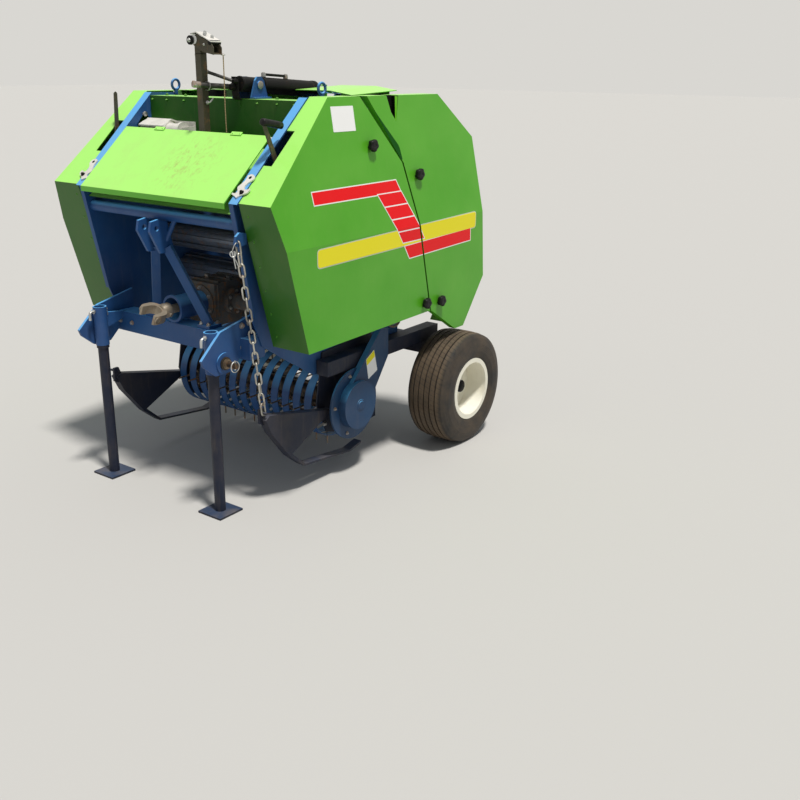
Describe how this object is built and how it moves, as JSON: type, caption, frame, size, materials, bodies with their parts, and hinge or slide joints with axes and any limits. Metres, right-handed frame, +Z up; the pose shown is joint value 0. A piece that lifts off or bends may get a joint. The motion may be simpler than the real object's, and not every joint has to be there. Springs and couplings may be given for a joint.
{
  "type": "round baler",
  "caption": "Small round baler with ribbed roller chamber, hinged tailgate, tined pickup, twine box, side covers, hitch arms, two wheels and parking legs.",
  "frame": {"origin": "middle of the baler's bounding box, on the ground under the wheels and the parking legs", "axes": "+X forward to the tractor, +Y left, +Z up"},
  "size_m": [1.558, 1.399, 1.748],
  "materials": {
    "blue_paint": "satin",
    "green_paint": "gloss",
    "dark_paint": "satin",
    "black_paint": "satin",
    "cast_grey": "rough",
    "rusty_steel": "rough",
    "zinc": "satin",
    "twine": "matte",
    "black_plastic": "matte",
    "chain_steel": "worn",
    "roller_steel": "worn",
    "rim_paint": "satin",
    "black_rubber": "matte",
    "tyre_rubber": "matte",
    "chrome_rod": "polished"
  },
  "bodies": {
    "frame": {"side_plate_left": "blue_paint", "side_plate_right": "blue_paint", "hitch_frame": "blue_paint", "hitch_mast": "blue_paint", "axle_beam": "dark_paint", "parking_leg_left": "dark_paint", "parking_leg_right": "dark_paint", "gearbox": "cast_grey", "shaft_guard": "blue_paint", "twine_box": "green_paint", "lid_latches": "zinc", "twine_pole": "dark_paint", "tensioner_head": "dark_paint", "twine_guide": "zinc", "twine_strand_near": "twine", "twine_strand_far": "twine", "hose_thin": "black_rubber", "hose_thick": "black_rubber", "front_cover_left": "green_paint", "front_cover_right": "green_paint", "front_knobs": "black_plastic", "tension_levers": "rusty_steel", "front_chain": "chain_steel", "pickup_sides": "dark_paint", "stripper_bands": "blue_paint", "pickup_drive_guard": "blue_paint", "pickup_skids": "dark_paint", "cylinder_bracket": "blue_paint", "height_chain": "zinc"},
    "tailgate": {"tail_plate_left": "blue_paint", "tail_plate_right": "blue_paint", "tail_cross_members": "blue_paint", "tail_roof": "green_paint", "tail_cover_left": "green_paint", "tail_cover_right": "green_paint", "tail_knobs": "black_plastic", "tail_chain": "chain_steel"},
    "lid": {"twine_lid": "green_paint"},
    "reel": {"pickup_reel": "chain_steel"},
    "input": {"input_shaft": "rusty_steel"},
    "wheel_l": {"wheel_left": "rim_paint", "tyre_left": "tyre_rubber"},
    "wheel_r": {"wheel_right": "rim_paint", "tyre_right": "tyre_rubber"},
    "barrel": {"cylinder_barrel": "black_paint"},
    "rod": {"cylinder_rod": "chrome_rod"},
    "roller_01": {"roller_01": "roller_steel"},
    "roller_02": {"roller_02": "roller_steel"},
    "roller_03": {"roller_03": "roller_steel"},
    "roller_04": {"roller_04": "roller_steel"},
    "roller_05": {"roller_05": "roller_steel"},
    "roller_06": {"roller_06": "roller_steel"},
    "roller_07": {"roller_07": "roller_steel"},
    "roller_08": {"roller_08": "roller_steel"},
    "roller_09": {"roller_09": "roller_steel"},
    "roller_10": {"roller_10": "roller_steel"},
    "roller_11": {"roller_11": "roller_steel"},
    "roller_12": {"roller_12": "roller_steel"},
    "roller_13": {"roller_13": "roller_steel"}
  },
  "joints": [
    {"name": "tailgate_lift", "type": "hinge", "parent": "frame", "child": "tailgate", "pos_m": [0.203, 0, 1.43], "axis": [0, 1, 0], "range_deg": [0, 60]},
    {"name": "roller_01_spin", "type": "hinge", "parent": "frame", "child": "roller_01", "pos_m": [0.14015, 0, 0.78605], "axis": [0, 1, 0], "continuous": true},
    {"name": "roller_02_spin", "type": "hinge", "parent": "frame", "child": "roller_02", "pos_m": [0.20058, 0, 0.94558], "axis": [0, 1, 0], "continuous": true},
    {"name": "roller_03_spin", "type": "hinge", "parent": "frame", "child": "roller_03", "pos_m": [0.18943, 0, 1.11581], "axis": [0, 1, 0], "continuous": true},
    {"name": "roller_04_spin", "type": "hinge", "parent": "frame", "child": "roller_04", "pos_m": [0.10868, 0, 1.26608], "axis": [0, 1, 0], "continuous": true},
    {"name": "roller_05_spin", "type": "hinge", "parent": "tailgate", "child": "roller_05", "pos_m": [-0.02711, 0, 1.36934], "axis": [0, 1, 0], "continuous": true},
    {"name": "roller_06_spin", "type": "hinge", "parent": "tailgate", "child": "roller_06", "pos_m": [-0.19349, 0, 1.40698], "axis": [0, 1, 0], "continuous": true},
    {"name": "roller_07_spin", "type": "hinge", "parent": "tailgate", "child": "roller_07", "pos_m": [-0.36051, 0, 1.37224], "axis": [0, 1, 0], "continuous": true},
    {"name": "roller_08_spin", "type": "hinge", "parent": "tailgate", "child": "roller_08", "pos_m": [-0.49808, 0, 1.27137], "axis": [0, 1, 0], "continuous": true},
    {"name": "roller_09_spin", "type": "hinge", "parent": "tailgate", "child": "roller_09", "pos_m": [-0.58144, 0, 1.12253], "axis": [0, 1, 0], "continuous": true},
    {"name": "roller_10_spin", "type": "hinge", "parent": "tailgate", "child": "roller_10", "pos_m": [-0.59556, 0, 0.95253], "axis": [0, 1, 0], "continuous": true},
    {"name": "roller_11_spin", "type": "hinge", "parent": "tailgate", "child": "roller_11", "pos_m": [-0.53792, 0, 0.79197], "axis": [0, 1, 0], "continuous": true},
    {"name": "roller_12_spin", "type": "hinge", "parent": "tailgate", "child": "roller_12", "pos_m": [-0.41888, 0, 0.66978], "axis": [0, 1, 0], "continuous": true},
    {"name": "roller_13_spin", "type": "hinge", "parent": "frame", "child": "roller_13", "pos_m": [-0.25989, 0, 0.60795], "axis": [0, 1, 0], "continuous": true},
    {"name": "pickup_spin", "type": "hinge", "parent": "frame", "child": "reel", "pos_m": [0.076, 0, 0.307], "axis": [0, 1, 0], "continuous": true},
    {"name": "input_spin", "type": "hinge", "parent": "frame", "child": "input", "pos_m": [0.503, 0, 0.735], "axis": [1, 0, 0], "continuous": true},
    {"name": "wheel_left_spin", "type": "hinge", "parent": "frame", "child": "wheel_l", "pos_m": [-0.525, 0.598, 0.254], "axis": [0, 1, 0], "continuous": true},
    {"name": "wheel_right_spin", "type": "hinge", "parent": "frame", "child": "wheel_r", "pos_m": [-0.525, -0.598, 0.254], "axis": [0, 1, 0], "continuous": true},
    {"name": "lid_open", "type": "hinge", "parent": "frame", "child": "lid", "pos_m": [0.419, 0, 1.382], "axis": [0, -1, 0], "range_deg": [0, 75]},
    {"name": "barrel_swing", "type": "hinge", "parent": "frame", "child": "barrel", "pos_m": [0.221, 0.11, 1.56], "axis": [0, 1, 0], "range_deg": [0, 65.58]},
    {"name": "rod_slide", "type": "slide", "parent": "barrel", "child": "rod", "axis": [0.9985, 0, 0.0553], "range_m": [0, 0.12215]}
  ],
  "couplings": [
    {"joint": "roller_02_spin", "follows": "roller_01_spin", "ratio": 1},
    {"joint": "roller_03_spin", "follows": "roller_01_spin", "ratio": 1},
    {"joint": "roller_04_spin", "follows": "roller_01_spin", "ratio": 1},
    {"joint": "roller_05_spin", "follows": "roller_01_spin", "ratio": 1},
    {"joint": "roller_06_spin", "follows": "roller_01_spin", "ratio": 1},
    {"joint": "roller_07_spin", "follows": "roller_01_spin", "ratio": 1},
    {"joint": "roller_08_spin", "follows": "roller_01_spin", "ratio": 1},
    {"joint": "roller_09_spin", "follows": "roller_01_spin", "ratio": 1},
    {"joint": "roller_10_spin", "follows": "roller_01_spin", "ratio": 1},
    {"joint": "roller_11_spin", "follows": "roller_01_spin", "ratio": 1},
    {"joint": "roller_12_spin", "follows": "roller_01_spin", "ratio": 1},
    {"joint": "roller_13_spin", "follows": "roller_01_spin", "ratio": 1},
    {"joint": "pickup_spin", "follows": "roller_01_spin", "ratio": 0.6},
    {"joint": "input_spin", "follows": "roller_01_spin", "ratio": 2.7},
    {"joint": "barrel_swing", "follows": "tailgate_lift", "ratio": 1.0929},
    {"joint": "rod_slide", "follows": "tailgate_lift", "m_per_rad": 0.11655}
  ]
}
